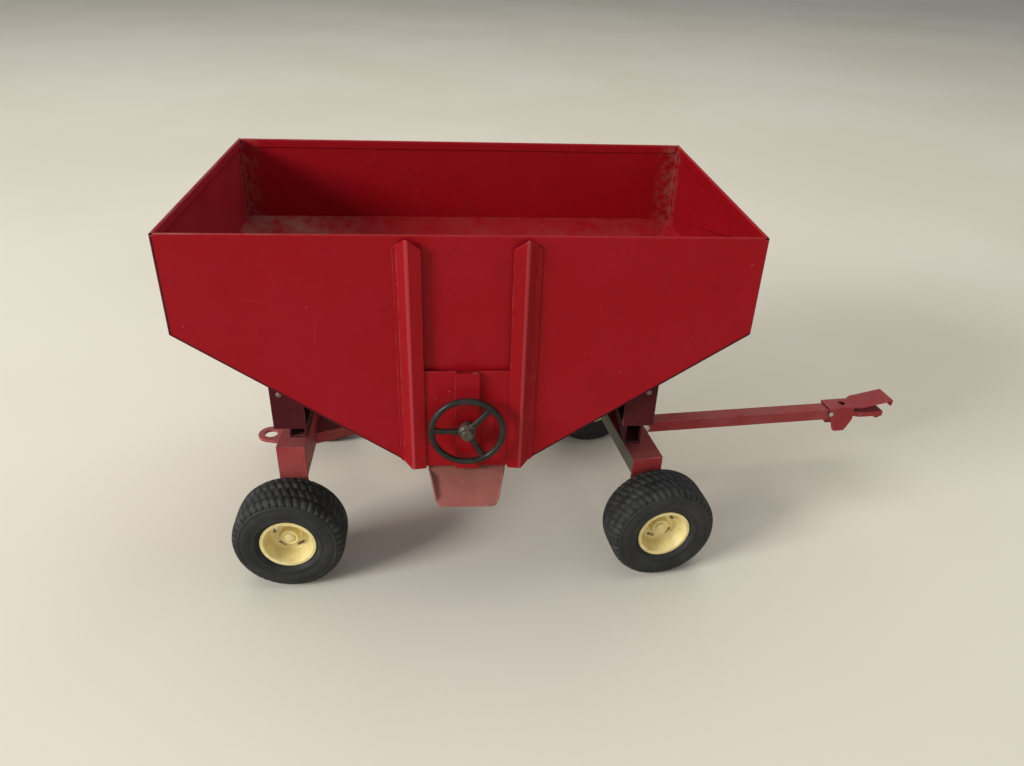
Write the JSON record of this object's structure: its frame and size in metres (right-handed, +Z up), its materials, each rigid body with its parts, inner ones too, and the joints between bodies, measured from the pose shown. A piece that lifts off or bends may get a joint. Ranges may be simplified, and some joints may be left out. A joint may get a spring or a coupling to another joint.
{
  "type": "toy gravity wagon",
  "caption": "Sheet-metal toy grain wagon with a sloped hopper, rack-and-pinion side gate with handwheel, chute, steered front axle, hinged tongue and hitch",
  "frame": {"origin": "on the ground, midway between the front and rear axles, on the centre line of the running gear", "axes": "+X towards the tongue, +Y away from the discharge side, +Z up"},
  "size_m": [0.3551, 0.1568, 0.1745],
  "materials": {
    "hopper_paint": "gloss red enamel, worn along the edges",
    "gear_paint": "red enamel, duller than the hopper",
    "tongue_paint": "faded red enamel",
    "chute_paint": "worn red enamel with bare streaks",
    "steel": "dull plated steel",
    "handwheel_plastic": "dark brown-black moulded plastic",
    "tyre_rubber": "dusty black rubber",
    "rim_plastic": "cream-yellow moulded plastic"
  },
  "bodies": {
    "wagon": {"discharge_panel": "hopper_paint", "front_end_panel": "hopper_paint", "rear_end_panel": "hopper_paint", "back_panel": "hopper_paint", "front_guide_rib": "hopper_paint", "rear_guide_rib": "hopper_paint", "gate_cover": "hopper_paint", "front_leg": "gear_paint", "rear_leg": "gear_paint", "rear_axle": "gear_paint", "reach": "gear_paint", "rear_hitch": "gear_paint", "chute": "chute_paint", "leg_rivets": "steel", "rear_axle_rivets": "steel", "kingpin": "steel", "kingpin_washer": "steel", "spindle_rear_near": "steel", "spindle_rear_far": "steel"},
    "gate": {"sliding_gate": "hopper_paint", "gate_rack": "steel"},
    "handwheel": {"handwheel": "handwheel_plastic", "pinion_shaft": "steel"},
    "front_axle": {"front_axle": "gear_paint", "tongue_bracket": "gear_paint", "tongue_pin": "steel", "spindle_front_near": "steel", "spindle_front_far": "steel"},
    "tongue": {"tongue": "tongue_paint", "hitch_clip_pin": "steel"},
    "hitch_clip": {"hitch_clip": "tongue_paint"},
    "wheel_rear_near": {"tyre_rear_near": "tyre_rubber", "rim_rear_near": "rim_plastic"},
    "wheel_rear_far": {"tyre_rear_far": "tyre_rubber", "rim_rear_far": "rim_plastic"},
    "wheel_front_near": {"tyre_front_near": "tyre_rubber", "rim_front_near": "rim_plastic"},
    "wheel_front_far": {"tyre_front_far": "tyre_rubber", "rim_front_far": "rim_plastic"}
  },
  "joints": [
    {"name": "handwheel_turn", "type": "hinge", "parent": "wagon", "child": "handwheel", "pos_m": [0, -0.0786, 0.0935], "axis": [0, -1, 0], "range_deg": [0, 540]},
    {"name": "gate_slide", "type": "slide", "parent": "wagon", "child": "gate", "axis": [0, 0, 1], "range_m": [0, 0.01885]},
    {"name": "steer", "type": "hinge", "parent": "wagon", "child": "front_axle", "pos_m": [0.0814, 0, 0.0547], "axis": [0, 0, 1], "range_deg": [-43, 27]},
    {"name": "tongue_lift", "type": "hinge", "parent": "front_axle", "child": "tongue", "pos_m": [0.09526, 0.00195, 0.0434], "axis": [0.1392, -0.9903, 0], "range_deg": [-7, 60]},
    {"name": "clip_open", "type": "hinge", "parent": "tongue", "child": "hitch_clip", "pos_m": [0.20437, 0.01728, 0.04131], "axis": [0.1392, -0.9903, 0], "range_deg": [0, 8], "stiffness_Nm_per_rad": 0.02, "springref_deg": -17.19},
    {"name": "wheel_rear_near_spin", "type": "hinge", "parent": "wagon", "child": "wheel_rear_near", "pos_m": [-0.0814, -0.0593, 0.0256], "axis": [0, 1, 0], "continuous": true},
    {"name": "wheel_rear_far_spin", "type": "hinge", "parent": "wagon", "child": "wheel_rear_far", "pos_m": [-0.0814, 0.0593, 0.0256], "axis": [0, 1, 0], "continuous": true},
    {"name": "wheel_front_near_spin", "type": "hinge", "parent": "front_axle", "child": "wheel_front_near", "pos_m": [0.09244, -0.05702, 0.0256], "axis": [-0.1392, 0.9903, 0], "continuous": true},
    {"name": "wheel_front_far_spin", "type": "hinge", "parent": "front_axle", "child": "wheel_front_far", "pos_m": [0.0763, 0.05785, 0.0256], "axis": [-0.1392, 0.9903, 0], "continuous": true}
  ],
  "couplings": [
    {"joint": "gate_slide", "follows": "handwheel_turn", "m_per_rad": 0.002}
  ]
}
